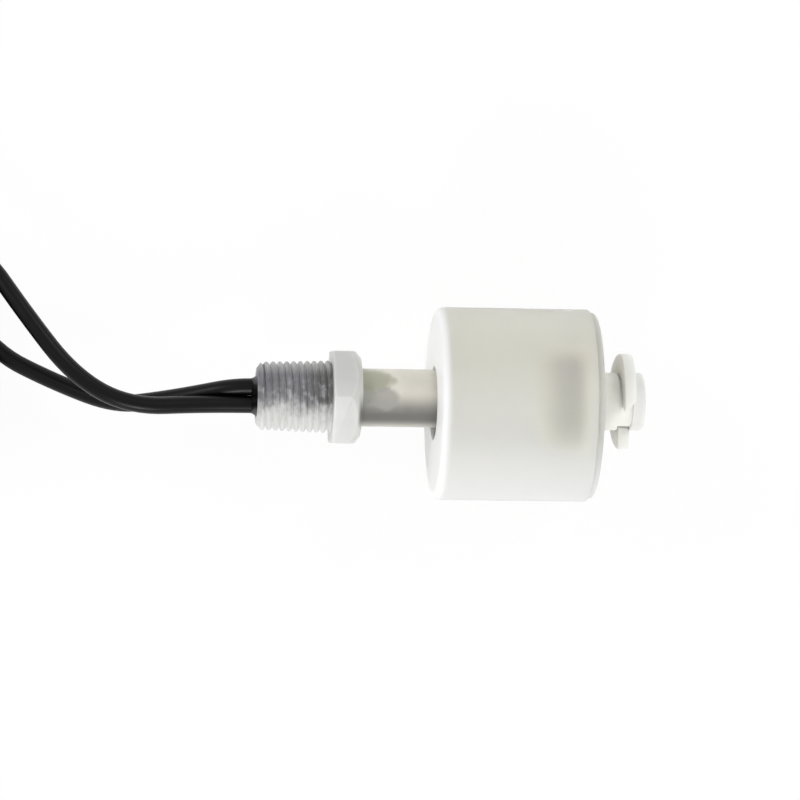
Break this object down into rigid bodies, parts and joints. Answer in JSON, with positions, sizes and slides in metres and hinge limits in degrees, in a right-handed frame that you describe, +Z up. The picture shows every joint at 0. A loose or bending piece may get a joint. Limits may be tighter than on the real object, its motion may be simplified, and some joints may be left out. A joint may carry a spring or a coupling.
{
  "type": "float level switch",
  "caption": "Vertical float level switch: threaded stem with a hexagon and a potted reed switch, hollow float with a ring magnet, retaining clip and two loose leads",
  "frame": {"origin": "on the surface that the float lies on, under the middle of the box round the switch without its leads", "axes": "+X along the stem from the threaded end to the tip, +Z up; the switch lies on its side"},
  "size_m": [0.1245, 0.0411, 0.0266],
  "materials": {
    "natural_polypropylene": "satin, milky",
    "white_polypropylene": "satin",
    "float_polypropylene": "satin, milky",
    "ferrite": "sintered",
    "black_sealant": "gloss",
    "potting_resin": "clear amber",
    "reed_glass": "clear, green tint",
    "reed_metal": "plated",
    "solder": "dull",
    "black_pvc": "gloss",
    "tinned_copper": "tinned strands",
    "tie_nylon": "satin"
  },
  "bodies": {
    "stem": {"stem": "natural_polypropylene", "retaining_clip": "white_polypropylene", "lead_seal": "black_sealant", "resin_fill": "potting_resin", "reed_glass": "reed_glass", "near_reed": "reed_metal", "far_reed": "reed_metal", "near_solder_joint": "solder", "far_solder_joint": "solder", "lead_a_insulation": "black_pvc", "lead_b_insulation": "black_pvc", "lead_a_conductor": "tinned_copper", "lead_b_conductor": "tinned_copper", "lead_a": "black_pvc", "lead_b": "black_pvc", "lead_a_coil": "black_pvc", "lead_b_coil": "black_pvc", "lead_a_tail": "black_pvc", "lead_b_tail": "black_pvc", "lead_a_bare_end": "tinned_copper", "lead_b_bare_end": "tinned_copper", "coil_tie": "tie_nylon"},
    "magnet": {"ring_magnet": "ferrite"},
    "float": {"float_shell": "float_polypropylene", "float_cap": "float_polypropylene"}
  },
  "joints": [
    {"name": "float_slide", "type": "slide", "parent": "stem", "child": "magnet", "axis": [1, 0, 0], "range_m": [-0.01, 0.0027]},
    {"name": "float_spin", "type": "hinge", "parent": "magnet", "child": "float", "pos_m": [0.00898, 0, 0.0133], "axis": [1, 0, 0], "continuous": true}
  ]
}
